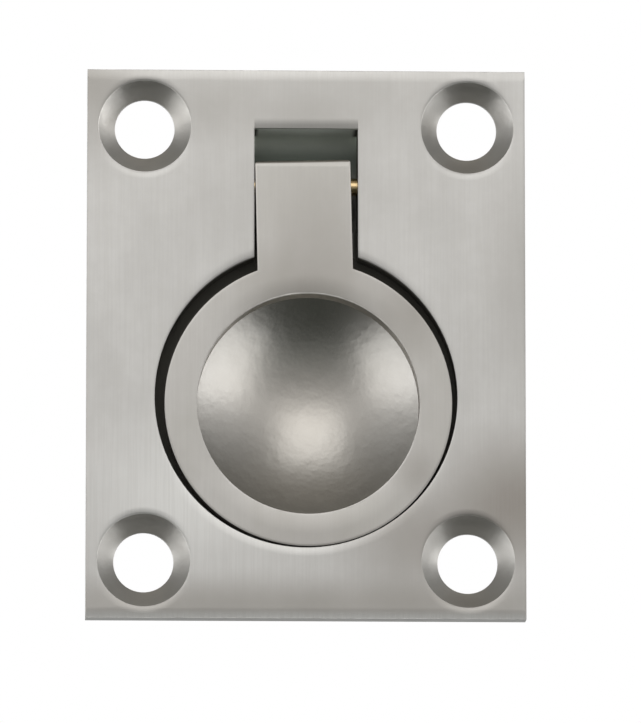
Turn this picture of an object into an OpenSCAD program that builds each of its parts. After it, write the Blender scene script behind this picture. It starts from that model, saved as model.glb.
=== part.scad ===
// Flush ring pull: a cast face plate with a keyhole recess, and a ring that folds into it on a pin.
// The plate stands upright and faces -Y. The origin is on the back of its flange, at the middle
// of the four screw holes. Depths are measured back from the front face.
// The front was brushed on a belt that ran up and down, so it rolled over the edges that lie
// across its run and only eased the others.

/* [Face plate] */
// Width of the face plate
plate_w = 38; // [37:0.5:60]
// Height of the face plate
plate_h = 48; // [47:0.5:80]
// Thickness of the flange
plate_t = 2; // [1.6:0.1:4]
// Width of the band that the belt rolled over along the edges across its run
belt_roll_w = 0.9; // [0.4:0.05:1.1]
// Slope that this band reaches at the edge, in degrees
belt_roll_angle = 10; // [4:1:14]
// Width of the band along the eased edges
edge_w = 0.2; // [0.1:0.05:0.4]
// Slope that the eased edges reach, in degrees
edge_angle = 10; // [6:1:30]

/* [Screw holes] */
// Distance of each screw hole from the two edges beside it
hole_inset = 5; // [4.8:0.1:6]
// Diameter of the screw holes
screw_hole_d = 5.2; // [3:0.1:6]
// Diameter of the countersinks at their mouth
countersink_d = 8.05; // [6.6:0.05:8.6]
// Angle between the sides of the countersinks, in degrees
countersink_angle = 84; // [80:1:100]

/* [Keyhole recess] */
// Diameter of the round part of the recess
recess_d = 26.2; // [24:0.1:28]
// Distance of the round part below the middle of the plate
recess_drop = 4.75; // [3:0.05:6]
// Width of the slot for the tongue
slot_w = 9; // [6:0.1:12]
// Height of the top of the slot above the middle of the plate
slot_rise = 18.9; // [17:0.1:20]
// Depth of the dish below the ring
dish_depth = 4; // [2.5:0.1:5]
// How far the rim of the dish stands back from the hole in the ring
dish_reveal = 0.6; // [0.2:0.1:1.2]
// Rounding of the rim of the dish
dish_rim_r = 0.4; // [0.2:0.1:0.8]
// Rounding of the inner corners of the pocket behind the tongue's heel
pocket_corner_r = 1.4; // [0.5:0.1:1.8]

/* [Housing behind the plate] */
// Wall round the recess
cup_wall = 1.5; // [1:0.1:2]
// Floor under the recess and the dish
floor_t = 1.3; // [0.8:0.1:2.5]
// Wall on each side of the slot, which holds the pin
cheek_t = 3; // [2.4:0.1:4]
// Rounding of the housing's back edges
back_edge_r = 0.8; // [0.3:0.1:1]
// Rounding of the two top corners of the block behind the hinge
block_corner_r = 1.5; // [0.5:0.1:2]

/* [Ring] */
// Thickness of the ring and its tongue
ring_t = 2.5; // [2:0.1:4]
// Width of the flat of the ring, from its hole to its rim
ring_band = 2.8; // [2:0.1:4]
// Gap between the ring and the wall of the recess, with the ring in the middle
ring_gap = 0.67; // [0.3:0.01:1.2]
// Gap left under the ring, which hangs low on its pin
foot_gap = 0.14; // [0.05:0.01:0.25]
// Gap between the back of the ring and the floor of the recess
seat_gap = 0.1; // [0.05:0.05:0.5]
// Total side play of the tongue in its slot
side_play = 0.75; // [0.5:0.05:1.5]
// Gap on the left of the tongue at the pin, where it lies close to the slot's wall
left_gap = 0.12; // [0.1:0.01:0.25]
// Lean of the ring in its slot, in degrees
ring_lean = 1.35; // [0:0.05:1.5]
// Radius of the corners at the tongue's end
tongue_corner_r = 0.35; // [0.1:0.05:1]
// Rounding of the tongue's end, seen from the side
nose_r = 0.3; // [0.1:0.05:0.5]
// Width of the eased band along the ring's front edges
ring_edge_w = 0.2; // [0.1:0.05:0.5]
// Width of the eased band along the tongue's sides
tongue_edge_w = 0.16; // [0.1:0.02:0.5]
// Chamfer along the ring's back edges
ring_bevel = 0.15; // [0.1:0.05:0.4]

/* [Hinge pin] */
// Diameter of the pin
pin_d = 1.5; // [1.2:0.1:2]
// Distance of the pin below the top of the slot
pin_drop = 4.9; // [4.6:0.1:6]
// Depth of the pin's axis below the front face
pin_depth = 1.6; // [1.4:0.1:2]
// Distance of the tongue's end and of the knuckle's back from the pin's axis
heel = 2.1; // [1.8:0.05:2.4]
// Radial clearance of the tongue on the pin
pin_clear = 0.05; // [0.02:0.01:0.1]
// Distance that the pin goes into each cheek
pin_grip = 2.6; // [1.5:0.1:2.6]
// Clearance round the heel as it swings
heel_clear = 0.3; // [0.2:0.1:0.8]
// Length of the slope from the knuckle down to the tongue's back
knuckle_slope = 3.5; // [2.5:0.1:5]

/* [Hidden] */
$fn = 128;

recess_r = recess_d / 2;
recess_z = -recess_drop;
slot_top = slot_rise;
seat_depth = ring_t + seat_gap;

ring_r = recess_r - ring_gap;
ring_hole_r = ring_r - ring_band;
ring_z = recess_z - ring_gap + foot_gap;
dish_r = ring_hole_r + dish_reveal;
dish_ball_r = (dish_r ^ 2 + dish_depth ^ 2) / (2 * dish_depth);
dish_ball_depth = seat_depth + dish_depth - dish_ball_r;

pin_r = pin_d / 2;
pin_z = slot_top - pin_drop;
tongue_w = slot_w - side_play;
tongue_x = left_gap - side_play / 2;
ring_x = tongue_x + (pin_z - ring_z) * tan(ring_lean);

// The heel's front corner swings round the pin, so the pocket behind it clears that circle.
// The lean lifts one end of the heel.
heel_sweep = norm([heel + tongue_w / 2 * sin(ring_lean), pin_depth]);
heel_pocket_depth = pin_depth + heel_sweep + heel_clear;
heel_pocket_low = pin_z - knuckle_slope - heel_clear;
block_depth = heel_pocket_depth + floor_t;
block_w = slot_w + 2 * cheek_t;
block_top = slot_top + cup_wall;
block_low = heel_pocket_low - floor_t;
boss_r = recess_r + cup_wall;
boss_depth = seat_depth + floor_t;

// Cutters run past the faces they cut by this much.
over = 1;

// Points of a rolled edge as [distance in from the edge, depth], from the flat to the edge.
function rolled(w, angle, steps = 3) =
    [for (i = [0:steps]) let (a = angle * i / steps, r = w / sin(angle))
        [w - r * sin(a), r * (1 - cos(a))]];

// Points of an arc round a centre.
function arc(centre, r, from, to, steps = 6) =
    [for (i = [0:steps]) let (a = from + (to - from) * i / steps)
        centre + r * [cos(a), sin(a)]];

// Area to cut away along a rolled edge: x is the distance into the metal and y the depth.
module rolled_cut(w, angle) {
    edge = rolled(w, angle);
    polygon(concat(
        [[-over, -over], [w, -over]],
        edge,
        [[-over, edge[len(edge) - 1].y]]
    ));
}

// Stands a turned shape at x and z with its axis along Y, y of the profile being the depth.
module turned(x, z) {
    translate([x, -plate_t, z]) rotate([-90, 0, 0]) rotate_extrude() children();
}

// Extrudes a front view from one depth back to another.
module front_slab(from, to) {
    translate([0, to - plate_t, 0]) rotate([90, 0, 0]) linear_extrude(to - from) children();
}

// Extrudes a side view, drawn as [depth, height], from one x to another.
module side_slab(from, to) {
    translate([from, -plate_t, 0]) rotate([90, 0, 90]) linear_extrude(to - from) children();
}

// Extrudes a plan, drawn as [x, depth], from one height up to another.
module plan_slab(from, to) {
    translate([0, -plate_t, from]) linear_extrude(to - from) children();
}

// A ball with its centre on the recess's axis.
module dish_ball(r) {
    translate([0, dish_ball_depth - plate_t, recess_z]) sphere(r, $fn = 180);
}

// Half of the flange's section, with its front edge rolled: x is the distance from the middle.
function flange_half(half, w, angle) =
    concat([for (p = rolled(w, angle)) [half - p.x, p.y]], [[half, plate_t]]);

// Flange as the two sections' common solid. The belt ran over its top and bottom edges.
module flange() {
    across = flange_half(plate_w / 2, edge_w, edge_angle);
    up = flange_half(plate_h / 2, belt_roll_w, belt_roll_angle);
    intersection() {
        plan_slab(-plate_h / 2, plate_h / 2) {
            polygon(concat([[0, 0]], across, [[0, plate_t]]));
            mirror([1, 0]) polygon(concat([[0, 0]], across, [[0, plate_t]]));
        }
        side_slab(-plate_w / 2, plate_w / 2) {
            polygon(concat([[0, 0]], [for (p = up) [p.y, p.x]], [[plate_t, 0]]));
            mirror([0, 1]) polygon(concat([[0, 0]], [for (p = up) [p.y, p.x]], [[plate_t, 0]]));
        }
    }
}

// Screw hole with its countersink and the eased band round its mouth.
module screw_hole(x, z) {
    mouth = [for (p = rolled(edge_w, edge_angle)) [countersink_d / 2 + p.x, p.y]];
    lip = mouth[len(mouth) - 1];
    hole_r = screw_hole_d / 2;
    cone_end = lip.y + (lip.x - hole_r) / tan(countersink_angle / 2);
    turned(x, z)
        polygon(concat(
            [[0, -over], [mouth[0].x, -over]],
            mouth,
            [[hole_r, cone_end], [hole_r, plate_t + over], [0, plate_t + over]]
        ));
}

// Rounds the rim where the dish meets the floor of the recess. The last stretch runs on
// straight, so that it crosses the ball at an angle.
module dish_rim() {
    centre_depth = seat_depth + dish_rim_r;
    drop = centre_depth - dish_ball_depth;
    centre_r = sqrt((dish_ball_r + dish_rim_r) ^ 2 - drop ^ 2);
    turn = 0.8 * atan2(centre_r, drop);
    rim = arc([centre_r, centre_depth], dish_rim_r, -90, -90 - turn, 4);
    end = rim[len(rim) - 1] + dish_rim_r * [-cos(turn), sin(turn)];
    turned(0, recess_z)
        polygon(concat(
            [[centre_r, seat_depth - dish_rim_r]],
            rim,
            [end, [end.x, seat_depth - dish_rim_r]]
        ));
}

// Side view of the pocket for the heel, with its two inner corners rounded.
module heel_pocket() {
    inner = heel_pocket_depth - pocket_corner_r;
    polygon(concat(
        [[-over, heel_pocket_low]],
        arc([inner, heel_pocket_low + pocket_corner_r], pocket_corner_r, -90, 0),
        arc([inner, slot_top - pocket_corner_r], pocket_corner_r, 0, 90),
        [[-over, slot_top]]
    ));
}

// Round recess, slot, pocket for the heel, and dish.
module keyhole() {
    turned(0, recess_z) translate([0, -over]) square([recess_r, over + seat_depth]);
    front_slab(-over, seat_depth)
        translate([-slot_w / 2, recess_z]) square([slot_w, slot_top - recess_z]);
    side_slab(-slot_w / 2, slot_w / 2) heel_pocket();
    intersection() {
        dish_ball(dish_ball_r);
        turned(0, recess_z)
            translate([0, seat_depth - seat_gap]) square([recess_r, dish_depth + over]);
    }
    dish_rim();
}

// Eased front edges of the keyhole, and the top of the slot, which the belt rolled over.
module keyhole_edges() {
    turned(0, recess_z) translate([recess_r, 0]) rolled_cut(edge_w, edge_angle);
    side_slab(-slot_w / 2, slot_w / 2)
        translate([0, slot_top]) mirror([1, -1]) rolled_cut(belt_roll_w, belt_roll_angle);
    for (side = [0, 1])
        mirror([side, 0, 0])
            translate([slot_w / 2, -plate_t, recess_z])
                linear_extrude(slot_top - recess_z) rolled_cut(edge_w, edge_angle);
}

// Round boss behind the recess, with the back of the dish swelling out of it.
module boss() {
    turned(0, recess_z)
        polygon(concat(
            [[0, plate_t / 2], [boss_r, plate_t / 2]],
            arc([boss_r - back_edge_r, boss_depth - back_edge_r], back_edge_r, 0, 90, 4),
            [[0, boss_depth]]
        ));
    intersection() {
        dish_ball(dish_ball_r + floor_t);
        turned(0, recess_z)
            translate([0, seat_depth]) square([boss_r, dish_depth + floor_t]);
    }
}

// Block behind the hinge, which slopes down to the boss below the pocket.
module hinge_block() {
    half = block_w / 2;
    corner = [half - block_corner_r, block_top - block_corner_r];
    start = plate_t / 2;
    foot = block_low - (block_depth - start);
    back = block_depth - back_edge_r;
    intersection() {
        front_slab(start, block_depth)
            polygon(concat(
                [[-half, foot], [half, foot]],
                arc(corner, block_corner_r, 0, 90),
                arc([-corner.x, corner.y], block_corner_r, 90, 180)
            ));
        side_slab(-half, half)
            polygon(concat(
                [[start, foot], [block_depth, block_low]],
                arc([back, block_top - back_edge_r], back_edge_r, 0, 90, 4),
                [[start, block_top]]
            ));
        plan_slab(foot, block_top)
            polygon(concat(
                [[-half, start], [half, start]],
                arc([half - back_edge_r, back], back_edge_r, 0, 90, 4),
                arc([back_edge_r - half, back], back_edge_r, 90, 180, 4)
            ));
    }
}

// Hole for the pin, drilled in from the right-hand edge along the back of the flange.
module pin_hole() {
    reach = slot_w / 2 + pin_grip;
    translate([-reach, pin_depth - plate_t, pin_z])
        rotate([0, 90, 0]) cylinder(r = pin_r, h = reach + plate_w / 2 + over);
}

module face_plate() {
    color([0.72, 0.71, 0.68])
        difference() {
            union() {
                flange();
                boss();
                hinge_block();
            }
            keyhole();
            keyhole_edges();
            for (x = [-1, 1], z = [-1, 1])
                screw_hole(x * (plate_w / 2 - hole_inset), z * (plate_h / 2 - hole_inset));
            pin_hole();
        }
}

// Section of the ring, with eased front edges and small back chamfers.
module ring_section() {
    front = rolled(ring_edge_w, edge_angle);
    polygon(concat(
        [for (p = front) [ring_r - p.x, p.y]],
        [[ring_r, ring_t - ring_bevel], [ring_r - ring_bevel, ring_t]],
        [[ring_hole_r + ring_bevel, ring_t], [ring_hole_r, ring_t - ring_bevel]],
        [for (i = [len(front) - 1:-1:0]) [ring_hole_r + front[i].x, front[i].y]]
    ));
}

// Side view of the tongue: flat front, knuckle round the pin, slope down to the ring's back.
module tongue_side() {
    tip = [ring_t - pin_depth, -knuckle_slope];
    tangent_at = atan2(tip.y, tip.x) + acos(heel / norm(tip));
    back = arc([0, 0], heel, 90, tangent_at, 16);
    nose = arc([nose_r - pin_depth, heel - nose_r], nose_r, 180, 90, 5);
    root = ring_z - pin_z;
    polygon(concat(nose, back, [tip, [tip.x, root], [-pin_depth, root]]));
}

// Front view of the tongue, down to the ring's flat.
module tongue_front() {
    root = ring_z - pin_z + ring_hole_r + 2 * ring_edge_w;
    half = tongue_w / 2;
    corner = [half - tongue_corner_r, heel - tongue_corner_r];
    polygon(concat(
        [[-half, root], [half, root]],
        arc(corner, tongue_corner_r, 0, 90),
        arc([-corner.x, corner.y], tongue_corner_r, 90, 180)
    ));
}

// The tongue leans about the pin in its slot, and the ring with it.
module tongue() {
    translate([tongue_x, 0, pin_z])
        rotate([0, -ring_lean, 0])
            difference() {
                intersection() {
                    front_slab(0, pin_depth + heel) tongue_front();
                    side_slab(-tongue_w, tongue_w) translate([pin_depth, 0]) tongue_side();
                }
                for (side = [0, 1])
                    mirror([side, 0, 0])
                        translate([tongue_w / 2, -plate_t, ring_z - pin_z])
                            mirror([1, 0, 0])
                                linear_extrude(pin_z - ring_z + heel + over)
                                    rolled_cut(tongue_edge_w, edge_angle);
            }
}

module pull_ring() {
    color([0.74, 0.73, 0.70])
        difference() {
            union() {
                turned(ring_x, ring_z) ring_section();
                tongue();
            }
            translate([-slot_w, pin_depth - plate_t, pin_z])
                rotate([0, 90, 0]) cylinder(r = pin_r + pin_clear, h = 2 * slot_w);
        }
}

module hinge_pin() {
    half = slot_w / 2 + pin_grip;
    bevel = pin_r / 4;
    color([0.85, 0.66, 0.34])
        translate([-half, pin_depth - plate_t, pin_z])
            rotate([0, 90, 0])
                rotate_extrude()
                    polygon([
                        [0, 0], [pin_r - bevel, 0], [pin_r, bevel],
                        [pin_r, 2 * half - bevel], [pin_r - bevel, 2 * half], [0, 2 * half]
                    ]);
}

face_plate();
pull_ring();
hinge_pin();
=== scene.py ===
import math

import bpy
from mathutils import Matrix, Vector


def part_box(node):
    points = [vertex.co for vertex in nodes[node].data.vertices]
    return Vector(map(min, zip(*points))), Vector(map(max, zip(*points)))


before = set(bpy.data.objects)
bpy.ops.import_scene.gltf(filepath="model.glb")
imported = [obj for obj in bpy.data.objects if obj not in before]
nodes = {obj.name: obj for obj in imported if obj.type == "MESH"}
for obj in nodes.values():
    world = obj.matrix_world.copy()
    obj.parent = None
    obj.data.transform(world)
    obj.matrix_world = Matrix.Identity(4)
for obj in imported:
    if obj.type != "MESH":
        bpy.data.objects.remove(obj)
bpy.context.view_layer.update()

scene = bpy.context.scene


# Face plate, a brass casting with satin nickel plating. Its front was drawn over a belt, so fine
# scratches run up and down it, and its dish and countersinks were turned. Shade is painted into the
# corners of the recess, and the back keeps the dull skin of the casting.
MM = 0.001

# The plate's sizes are in millimetres.
plate_low, plate_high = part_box("face_plate")
face_y = plate_low.y
plate_half_w = plate_high.x / MM
plate_half_h = plate_high.z / MM
recess_z = -4.75
recess_r = 13.1
dish_r = 10.23
dish_depth = 4.0
seat_depth = 2.6
slot_half = 4.5
slot_top = 18.9
slot_bottom = 7.5
slot_floor = 4.62
pin_z = 14.0
hole_x = 14.0
hole_z = 19.0
countersink_r = 4.03
lip_drop = 0.05


def linear(hex_code):
    """An sRGB hex colour as the linear colour that a shader takes."""
    parts = [int(hex_code[i:i + 2], 16) / 255 for i in (1, 3, 5)]
    return tuple(c / 12.92 if c <= 0.04045 else ((c + 0.055) / 1.055) ** 2.4 for c in parts) + (1.0,)


def add(tree, kind, inputs=None, **settings):
    """Adds a node with its settings. An input takes a value, a socket or a node's first output."""
    made = tree.nodes.new(kind)
    for key, value in settings.items():
        setattr(made, key, value)
    for name, value in (inputs or {}).items():
        if isinstance(value, bpy.types.Node):
            value = next(o for o in value.outputs if o.enabled)
        if isinstance(value, bpy.types.NodeSocket):
            tree.links.new(value, made.inputs[name])
        else:
            made.inputs[name].default_value = value
    return made


def new_material(name):
    """A material with an empty node tree."""
    material = bpy.data.materials.new(name)
    material.use_nodes = True
    material.node_tree.nodes.clear()
    return material, material.node_tree


def smooth(node):
    """Shades faces that meet at a small angle as one surface, across the seams of turned faces."""
    seam_gap = 0.001 * MM
    crease_angle = math.radians(20)
    node.modifiers.new("weld", "WELD").merge_threshold = seam_gap
    split = node.modifiers.new("split", "EDGE_SPLIT")
    split.split_angle = crease_angle
    split.use_edge_sharp = False
    node.modifiers.new("normals", "WEIGHTED_NORMAL")


def overlap(tree, *masks):
    """Where all of the masks hold at once. A plain number weakens them."""
    shared = masks[0]
    for mask in masks[1:]:
        shared = add(tree, "ShaderNodeMath", {0: shared, 1: mask}, operation="MULTIPLY")
    return shared


def region(tree, *limits):
    """1 within all of the limits. Each is a measure, where it starts to count and where it is full."""
    within = [
        add(tree, "ShaderNodeMapRange", {
            "Value": measure, "From Min": start, "From Max": end,
        }, interpolation_type="SMOOTHSTEP")
        for measure, start, end in limits
    ]
    return overlap(tree, *within)


def streaks(tree, place, width, length, seed=0.0):
    """Noise drawn out along Z, as a belt leaves it, with a width and a length in millimetres."""
    stretched = add(tree, "ShaderNodeMapping", {
        "Vector": place,
        "Location": (seed, seed, seed),
        "Scale": (1 / width, 1 / width, 1 / length),
    })
    return add(tree, "ShaderNodeTexNoise", {
        "Vector": stretched, "Scale": 1.0, "Detail": 2.0, "Roughness": 0.6,
    })


def across_axis(tree, place, x, z):
    """The place seen from an axis that runs front to back at x and z."""
    moved = add(tree, "ShaderNodeVectorMath", {0: place, 1: (x, 0, z)}, operation="SUBTRACT")
    return add(tree, "ShaderNodeVectorMath", {0: moved, 1: (1, 0, 1)}, operation="MULTIPLY")


def from_axis(tree, place, x, z):
    """How far the place lies from an axis that runs front to back at x and z."""
    across = across_axis(tree, place, x, z)
    return add(tree, "ShaderNodeVectorMath", {0: across}, operation="LENGTH").outputs["Value"]


def across_screw_hole(tree, place):
    """The place seen from the axis of the nearest screw hole."""
    folded = add(tree, "ShaderNodeVectorMath", {0: place}, operation="ABSOLUTE")
    return across_axis(tree, folded, hole_x, hole_z)


def soft_spot(tree, place, x, z, half_width, half_height):
    """1 at the middle of an ellipse on the front, fading to 0 at its rim."""
    any_depth = 1000
    fitted = add(tree, "ShaderNodeMapping", {
        "Vector": place, "Location": (x, 0, z), "Scale": (half_width, any_depth, half_height),
    }, vector_type="TEXTURE")
    from_middle = add(tree, "ShaderNodeVectorMath", {0: fitted}, operation="LENGTH").outputs["Value"]
    return region(tree, (from_middle, 1.0, 0.0))


def belt_roll(tree, across, lip_r, width, drop):
    """How far the belt rolled the front down at a round lip: most at the lip's top and bottom."""
    from_middle = add(tree, "ShaderNodeVectorMath", {0: across}, operation="LENGTH").outputs["Value"]
    slope = add(tree, "ShaderNodeMapRange", {
        "Value": from_middle, "From Min": lip_r + width, "From Max": lip_r,
    })
    unit = add(tree, "ShaderNodeVectorMath", {0: across}, operation="NORMALIZE")
    upright = add(tree, "ShaderNodeSeparateXYZ", {"Vector": unit}).outputs["Z"]
    return overlap(tree, slope, slope, upright, upright, drop)


def satin_nickel(name, tones, turned_places, skin, skin_roughness, lips, belted_painted_light, turned_painted_light):
    """Satin nickel on cast brass: a soft grey shine, brushed by the belt and dull where it missed, with
    soft spots of painted light and shade.
    """
    belt_reach, belt_end = 0.32, 0.48
    lips_from, lips_end = 0.3, 1.9
    noise_low, noise_high = 0.35, 0.65
    worn = linear("#AFABA5")
    mottle_strength = 0.08
    scratch_strength = 0.12
    relief_height = 0.012
    wave_share = 0.16
    cast_relief = 2.2
    brushed_roughness = 0.34

    material, tree = new_material(name)
    object_place = add(tree, "ShaderNodeTexCoord").outputs["Object"]
    place = add(tree, "ShaderNodeVectorMath", {
        0: object_place, "Scale": 1 / MM,
    }, operation="SCALE").outputs["Vector"]
    depth = add(tree, "ShaderNodeMath", {
        0: add(tree, "ShaderNodeSeparateXYZ", {"Vector": place}).outputs["Y"],
        1: face_y / MM,
    }, operation="SUBTRACT")
    belted = region(tree, (depth, belt_end, belt_reach))
    turned = turned_places(tree, place)
    finished = add(tree, "ShaderNodeMath", {0: belted, 1: turned}, operation="MAXIMUM")
    brushed = add(tree, "ShaderNodeMath", {
        0: belted, 1: turned,
    }, operation="SUBTRACT", use_clamp=True)

    # The belt's scratches are a few hundredths of a millimetre wide. They would be too fine to show,
    # so they are drawn 0.16 mm wide, and the waves between them 0.7 mm.
    fine = streaks(tree, place, width=0.16, length=7)
    coarse = streaks(tree, place, width=0.7, length=18, seed=3.1)
    cloud = streaks(tree, place, width=5, length=9, seed=7.7)
    mottle = streaks(tree, place, width=1.1, length=1.1, seed=5.2)

    tone = add(tree, "ShaderNodeMix", {
        "Factor": region(tree, (cloud, noise_low, noise_high)),
        "A": linear(tones[0]),
        "B": linear(tones[1]),
    }, data_type="RGBA")
    mottled = region(tree, (mottle, noise_low, noise_high))
    tone = add(tree, "ShaderNodeMix", {
        "Factor": overlap(tree, mottled, mottle_strength), "A": tone, "B": worn,
    }, data_type="RGBA")
    # Soft spots of painted highlight and painted shade, on the brushed front and on the turned places.
    for painted_marks, reached in ((belted_painted_light, brushed), (turned_painted_light, turned)):
        for hex_code, strength, x, z, half_width, half_height in painted_marks:
            painted_spot = soft_spot(tree, place, x, z, half_width, half_height)
            tone = add(tree, "ShaderNodeMix", {
                "Factor": overlap(tree, painted_spot, reached, strength),
                "A": tone,
                "B": linear(hex_code),
            }, data_type="RGBA")
    scratches = region(tree, (fine, noise_low, noise_high))
    scratched = add(tree, "ShaderNodeMix", {
        "Factor": overlap(tree, scratches, brushed, scratch_strength), "A": tone, "B": worn,
    }, data_type="RGBA")
    colour = add(tree, "ShaderNodeMix", {
        "Factor": finished, "A": skin(tree, place, depth), "B": scratched,
    }, data_type="RGBA")

    belt_waves = add(tree, "ShaderNodeMath", {
        0: coarse, 1: wave_share, 2: cloud,
    }, operation="MULTIPLY_ADD")
    cast_skin = add(tree, "ShaderNodeMath", {0: mottle, 1: cast_relief}, operation="MULTIPLY")
    relief = add(tree, "ShaderNodeMix", {
        "Factor": brushed, "A": cast_skin, "B": belt_waves,
    }, data_type="FLOAT")
    near_front = add(tree, "ShaderNodeMapRange", {
        "Value": depth, "From Min": lips_end, "From Max": lips_from,
    })
    height = add(tree, "ShaderNodeMath", {
        0: add(tree, "ShaderNodeMath", {0: relief, 1: relief_height}, operation="MULTIPLY"),
        1: overlap(tree, lips(tree, place), near_front),
    }, operation="SUBTRACT")
    surface = add(tree, "ShaderNodeBsdfPrincipled", {
        "Base Color": colour,
        "Metallic": 1.0,
        "Roughness": add(tree, "ShaderNodeMapRange", {
            "Value": finished, "To Min": skin_roughness, "To Max": brushed_roughness,
        }),
        "Normal": add(tree, "ShaderNodeBump", {"Height": height, "Distance": MM}),
    })
    add(tree, "ShaderNodeOutputMaterial", {"Surface": surface})
    return material


def dish_countersinks_and_sides(tree, place):
    """1 in the dish and the four countersinks, and on the four sides of the flange."""
    ball_r = (dish_r ** 2 + dish_depth ** 2) / (2 * dish_depth)
    ball_y = face_y / MM + seat_depth + dish_depth - ball_r
    from_ball = add(tree, "ShaderNodeVectorMath", {
        0: place, 1: (0, ball_y, recess_z),
    }, operation="DISTANCE").outputs["Value"]
    dish = region(
        tree,
        (from_axis(tree, place, 0, recess_z), dish_r + 0.1, dish_r - 0.1),
        (from_ball, ball_r + 0.6, ball_r + 0.4),
    )
    from_hole = add(tree, "ShaderNodeVectorMath", {
        0: across_screw_hole(tree, place),
    }, operation="LENGTH").outputs["Value"]
    before_back = add(tree, "ShaderNodeSeparateXYZ", {"Vector": place}).outputs["Y"]
    countersinks = region(
        tree,
        (before_back, -0.04, -0.08),
        (from_hole, countersink_r + 0.05, countersink_r - 0.05),
    )
    folded = add(tree, "ShaderNodeVectorMath", {0: place}, operation="ABSOLUTE")
    reach = add(tree, "ShaderNodeSeparateXYZ", {"Vector": folded})
    upright_sides = region(tree, (reach.outputs["X"], plate_half_w - 0.04, plate_half_w - 0.02))
    level_sides = region(tree, (reach.outputs["Z"], plate_half_h - 0.04, plate_half_h - 0.02))
    places = dish
    for more in (countersinks, upright_sides, level_sides):
        places = add(tree, "ShaderNodeMath", {0: places, 1: more}, operation="MAXIMUM")
    return places


def recess_skin_and_painted_light(tree, place, depth):
    """Cast skin, with painted shade above the pin and in the corners, and a painted highlight at the
    slot's top.
    """
    apart = add(tree, "ShaderNodeSeparateXYZ", {"Vector": place})
    across = add(tree, "ShaderNodeMath", {0: apart.outputs["X"]}, operation="ABSOLUTE")
    up = apart.outputs["Z"]
    from_middle = from_axis(tree, place, 0, recess_z)
    round_corner = region(
        tree,
        (from_middle, recess_r - 1.5, recess_r - 0.7),
        (from_middle, recess_r + 0.3, recess_r + 0.2),
    )
    along_slot = region(
        tree,
        (across, slot_half + 0.2, slot_half + 0.1),
        (up, slot_bottom - 0.1, slot_bottom + 0.1),
        (up, slot_top + 0.2, slot_top + 0.1),
    )
    beside_tongue = region(tree, (across, slot_half - 0.5, slot_half - 0.1))
    corners = add(tree, "ShaderNodeMath", {
        0: round_corner, 1: overlap(tree, beside_tongue, along_slot),
    }, operation="MAXIMUM")
    on_walls = region(
        tree,
        (depth, 0.4, 0.9),
        (depth, slot_floor - 0.8, slot_floor - 1.2),
    )
    before_floor = region(tree, (depth, slot_floor + 0.2, slot_floor + 0.1))
    pocket = overlap(tree, along_slot, before_floor)
    above_pin = region(tree, (up, pin_z + 0.5, pin_z + 2.5))
    towards_top = region(tree, (up, slot_top - 2.3, slot_top - 0.1))
    tone = linear("#B5B3AE")
    # Painted shade above the pin and in the corners, and a painted highlight at the slot's top, over
    # the cast skin's colour.
    for place_there, hex_code in (
        (overlap(tree, pocket, above_pin), "#8F958D"),
        (overlap(tree, pocket, towards_top, towards_top), "#F4F8F1"),
        (overlap(tree, corners, on_walls), "#6E6C66"),
    ):
        tone = add(tree, "ShaderNodeMix", {
            "Factor": place_there, "A": tone, "B": linear(hex_code),
        }, data_type="RGBA")
    return tone


def plate_lips(tree, place):
    """How far the belt rolled the front down round the recess and the countersinks."""
    recess = across_axis(tree, place, 0, recess_z)
    screw_hole = across_screw_hole(tree, place)
    return add(tree, "ShaderNodeMath", {
        0: belt_roll(tree, recess, recess_r, width=0.75, drop=lip_drop),
        1: belt_roll(tree, screw_hole, countersink_r, width=0.6, drop=lip_drop),
    }, operation="ADD")


# Painted light: each mark is a colour, its strength, and the middle and half sizes of its ellipse in
# millimetres. On the brushed front they are painted shade and painted highlights where the light falls
# unevenly, with painted highlights along the top and bottom edges and painted shade just above the
# bottom.
plate_front_painted_light = (
    ("#8F8A82", 0.6, -19, 24, 9, 12),
    ("#9C9891", 0.3, 2, 22, 26, 6),
    ("#EBEAE6", 0.62, -10, -13.5, 17, 10.5),
    ("#8A8279", 0.75, 18, -14, 9, 9),
    ("#8A8279", 0.5, 10, -17, 9, 7.5),
    ("#8C867D", 0.5, 0, -22.7, 70, 3.3),
    ("#F2F1ED", 1.0, 0, -24.1, 70, 0.9),
    ("#E6E4E0", 0.5, -3, 24.1, 26, 1.1),
    ("#9C9891", 0.2, 0, 13, 24, 9),
    ("#9C9891", 0.3, 0, 19.8, 7, 3),
    ("#9C9891", 0.35, -8, 20.5, 6, 5),
    ("#9C9891", 0.4, 20, 7, 7, 16),
)
# A warm painted reflection in the dish, painted highlights at both sides of the upper left countersink,
# and painted shade at the left side and the bottoms of the right ones.
plate_turned_painted_light = (
    ("#CEC5B8", 0.45, 0, recess_z, 14, 14),
    ("#FFFCF7", 1.0, -17.4, 19.1, 2.2, 3.0),
    ("#F2EFEA", 0.6, -10.9, 19.4, 2.0, 2.6),
    ("#A49F98", 0.5, 10.7, 18.9, 2.0, 2.6),
    ("#A49F98", 0.4, 14, 15.4, 4.0, 1.5),
    ("#A49F98", 0.4, 14, -22.6, 4.0, 1.5),
)
nodes["face_plate"].material_slots[0].material = satin_nickel(
    "satin_nickel_plate",
    tones=("#C9C7C3", "#CFCDC9"),
    turned_places=dish_countersinks_and_sides,
    skin=recess_skin_and_painted_light,
    skin_roughness=0.75,
    lips=plate_lips,
    belted_painted_light=plate_front_painted_light,
    turned_painted_light=plate_turned_painted_light,
)
smooth(nodes["face_plate"])


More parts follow.
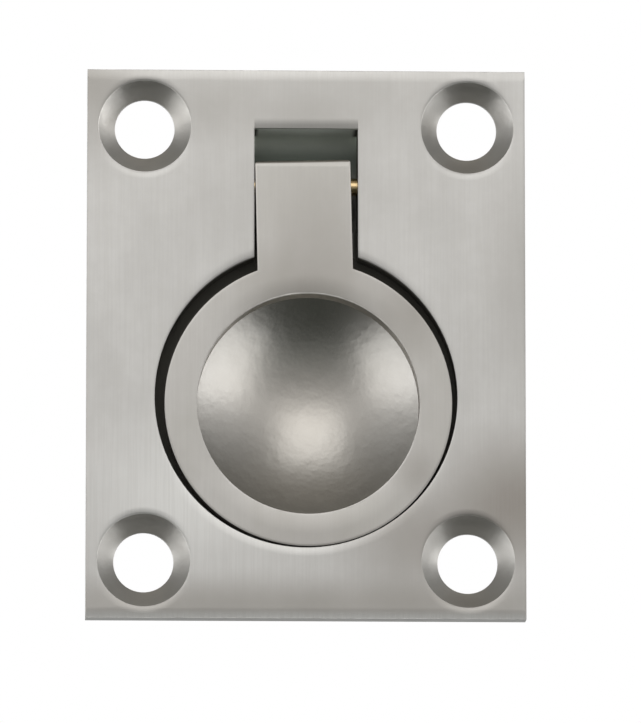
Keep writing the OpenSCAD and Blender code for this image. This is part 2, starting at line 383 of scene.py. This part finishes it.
# Hinge pin, a length of drawn brass wire, left bare. It was pushed in from the plate's edge, through
# the tongue, and only a glint of it shows beside the tongue.
def drawn_brass(name):
    """Bare brass wire: yellow, with the close shine of the die and faint lines along it."""
    line_length = 5 * MM
    # The die's lines are finer than this, and are drawn 0.125 mm wide so that they show.
    line_width = 0.125 * MM

    material, tree = new_material(name)
    along = add(tree, "ShaderNodeMapping", {
        "Vector": add(tree, "ShaderNodeTexCoord").outputs["Object"],
        "Scale": (1 / line_length, 1 / line_width, 1 / line_width),
    })
    lines = add(tree, "ShaderNodeTexNoise", {"Vector": along, "Scale": 1.0, "Detail": 2.0})
    tone = add(tree, "ShaderNodeMix", {
        "Factor": lines,
        "A": linear("#DBBB88"),
        "B": linear("#EBD3A6"),
    }, data_type="RGBA")
    surface = add(tree, "ShaderNodeBsdfPrincipled", {
        "Base Color": tone,
        "Metallic": 1.0,
        "Roughness": 0.22,
    })
    add(tree, "ShaderNodeOutputMaterial", {"Surface": surface})
    return material


nodes["hinge_pin"].material_slots[0].material = drawn_brass("drawn_brass_wire")
smooth(nodes["hinge_pin"])


# Pull ring, a second casting, plated and brushed along with the plate, so the scratches run the same
# way across the ring and its tongue when it lies shut. Painted shade makes it darker than the plate,
# most where the tongue meets the ring, and its hole was turned, with a painted highlight at its top.
ring_x = 0.2
ring_z = -5.28
ring_hole_r = 9.63
tongue_top = 16.1


def ring_hole(tree, place):
    """1 on the wall of the ring's hole."""
    from_ring = from_axis(tree, place, ring_x, ring_z)
    return region(tree, (from_ring, ring_hole_r + 0.15, ring_hole_r + 0.05))


def ring_skin(tree, place, depth):
    """Plating without a brushed finish, the same all over the ring's rim and back."""
    return linear("#C4C1BB")


def ring_lips(tree, place):
    """How far the belt rolled the front down round the ring's hole and at the tongue's end."""
    hole = across_axis(tree, place, ring_x, ring_z)
    up = add(tree, "ShaderNodeSeparateXYZ", {"Vector": place}).outputs["Z"]
    at_end = region(tree, (up, tongue_top - 0.6, tongue_top))
    return add(tree, "ShaderNodeMath", {
        0: belt_roll(tree, hole, ring_hole_r, width=1.7, drop=0.07),
        1: overlap(tree, at_end, lip_drop),
    }, operation="ADD")


# Painted shade on the ring, most where the tongue meets it.
ring_painted_shade = (
    ("#8F8981", 0.5, 0, 4.5, 9, 7),
    ("#8F8981", 0.3, 1.5, 10, 7, 8),
    ("#8F8981", 0.5, 9.5, 3, 6, 6),
    ("#8F8981", 0.25, 0, -16.5, 8, 4),
    ("#8F8981", 0.4, 9.8, -11.2, 3.5, 3.5),
)
# A painted highlight on the wall at the top of the ring's hole.
ring_hole_painted_highlight = (
    ("#F4F1EB", 1.0, ring_x, 4.2, 8, 3),
)
nodes["pull_ring"].material_slots[0].material = satin_nickel(
    "satin_nickel_ring",
    # Tones darker than the plate's, as painted shade.
    tones=("#BFBCB6", "#C6C3BE"),
    turned_places=ring_hole,
    skin=ring_skin,
    skin_roughness=0.5,
    lips=ring_lips,
    belted_painted_light=ring_painted_shade,
    turned_painted_light=ring_hole_painted_highlight,
)
smooth(nodes["pull_ring"])


# Camera. It stands a little below the plate and to its left, with a long lens, and its place and
# lens were worked out from the outline of the plate in the photo.
camera_aim = Vector((1.24 * MM, face_y, -1.61 * MM))
camera_distance = 766.0 * MM
camera_below = math.radians(9.078)
camera_left = math.radians(2.031)
photo_height = 723
focal_length = 8859.5

to_camera = Vector((
    -math.sin(camera_left) * math.cos(camera_below),
    -math.cos(camera_left) * math.cos(camera_below),
    -math.sin(camera_below),
))
lens = bpy.data.cameras.new("camera")
lens.sensor_width = 36.0
lens.lens = focal_length / photo_height * lens.sensor_width
lens.clip_start = 0.01
lens.clip_end = 20.0
camera = bpy.data.objects.new("camera", lens)
scene.collection.objects.link(camera)
camera.location = camera_aim + to_camera * camera_distance
camera.rotation_euler = (-to_camera).to_track_quat("-Z", "Y").to_euler()
scene.camera = camera


# Studio. White paper hangs behind the plate and the room in front is dim. One soft box hangs above
# the camera and one stands on each side, lower than the plate.
def soft_box(name, azimuth, elevation, distance, width, height, radiance):
    """A soft box that faces the plate: azimuth 0 is in front of it and 90 on its right."""
    light = bpy.data.lights.new(name, "AREA")
    light.shape = "RECTANGLE"
    light.size = width
    light.size_y = height
    light.energy = radiance * math.pi * width * height
    box = bpy.data.objects.new(name, light)
    scene.collection.objects.link(box)
    turn = math.radians(azimuth)
    rise = math.radians(elevation)
    away = Vector((math.sin(turn) * math.cos(rise), -math.cos(turn) * math.cos(rise), math.sin(rise)))
    box.location = away * distance
    box.rotation_euler = (-away).to_track_quat("-Z", "Y").to_euler()
    box.visible_camera = False


soft_box("box_above", azimuth=-2, elevation=28, distance=0.6, width=0.42, height=0.4, radiance=0.98)
soft_box("box_left", azimuth=-76, elevation=-16, distance=0.6, width=0.84, height=0.46, radiance=1.04)
soft_box("box_right", azimuth=75, elevation=-19, distance=0.6, width=0.9, height=0.55, radiance=1.14)

white = (1, 1, 1, 1)
world = bpy.data.worlds.new("studio")
world.use_nodes = True
scene.world = world
tree = world.node_tree
tree.nodes.clear()
toward = add(tree, "ShaderNodeSeparateXYZ", {
    "Vector": add(tree, "ShaderNodeTexCoord").outputs["Generated"],
})
height = add(tree, "ShaderNodeMapRange", {"Value": toward.outputs["Z"], "From Min": -1.0})
room = add(tree, "ShaderNodeValToRGB", {"Fac": height})
ramp = room.color_ramp
ramp.elements[0].color = linear("#3E433D")
ramp.elements[1].color = linear("#8C877E")
for at, hex_code in (
    (0.3, "#7A7D7A"),
    (0.45, "#A0A0A0"),
    (0.52, "#C6C6C6"),
    (0.62, "#CACACA"),
    (0.8, "#8A8A88"),
):
    ramp.elements.new(at).color = linear(hex_code)

# The paper reaches round both sides of the plate, and behind it down to the height of a table.
sideways = add(tree, "ShaderNodeMath", {0: toward.outputs["X"]}, operation="ABSOLUTE")
beside = add(tree, "ShaderNodeMapRange", {
    "Value": sideways, "From Min": 0.9, "From Max": 0.96,
})
behind = add(tree, "ShaderNodeMapRange", {
    "Value": toward.outputs["Y"], "From Min": 0.4, "From Max": 0.7,
})
above_table = region(tree, (toward.outputs["Z"], -0.35, 0.05))
paper_seen = add(tree, "ShaderNodeMath", {
    0: beside, 1: overlap(tree, behind, above_table),
}, operation="MAXIMUM")
around = add(tree, "ShaderNodeMix", {
    "Factor": paper_seen, "A": room, "B": white,
}, data_type="RGBA")
seen = add(tree, "ShaderNodeMix", {
    "Factor": add(tree, "ShaderNodeLightPath").outputs["Is Camera Ray"],
    "A": around,
    "B": white,
}, data_type="RGBA")
studio = add(tree, "ShaderNodeBackground", {"Color": seen})
add(tree, "ShaderNodeOutputWorld", {"Surface": studio})

# The floor is pale to the camera. In the metal it is dim, as what lies below the plate is in the photo.
floor_half = 1.6
floor_z = -1.0
floor_mesh = bpy.data.meshes.new("floor")
floor_mesh.from_pydata(
    [(x * floor_half, y * floor_half, floor_z) for x, y in ((-1, -1), (1, -1), (1, 1), (-1, 1))],
    [], [(0, 1, 2, 3)],
)
floor = bpy.data.objects.new("floor", floor_mesh)
scene.collection.objects.link(floor)
paper, tree = new_material("pale_paper")
shown = add(tree, "ShaderNodeMixShader", {
    "Fac": add(tree, "ShaderNodeLightPath").outputs["Is Camera Ray"],
    1: add(tree, "ShaderNodeBsdfDiffuse", {"Color": linear("#484D48")}),
    2: add(tree, "ShaderNodeEmission", {"Color": white}),
})
add(tree, "ShaderNodeOutputMaterial", {"Surface": shown})
floor_mesh.materials.append(paper)

scene.view_settings.view_transform = "Standard"
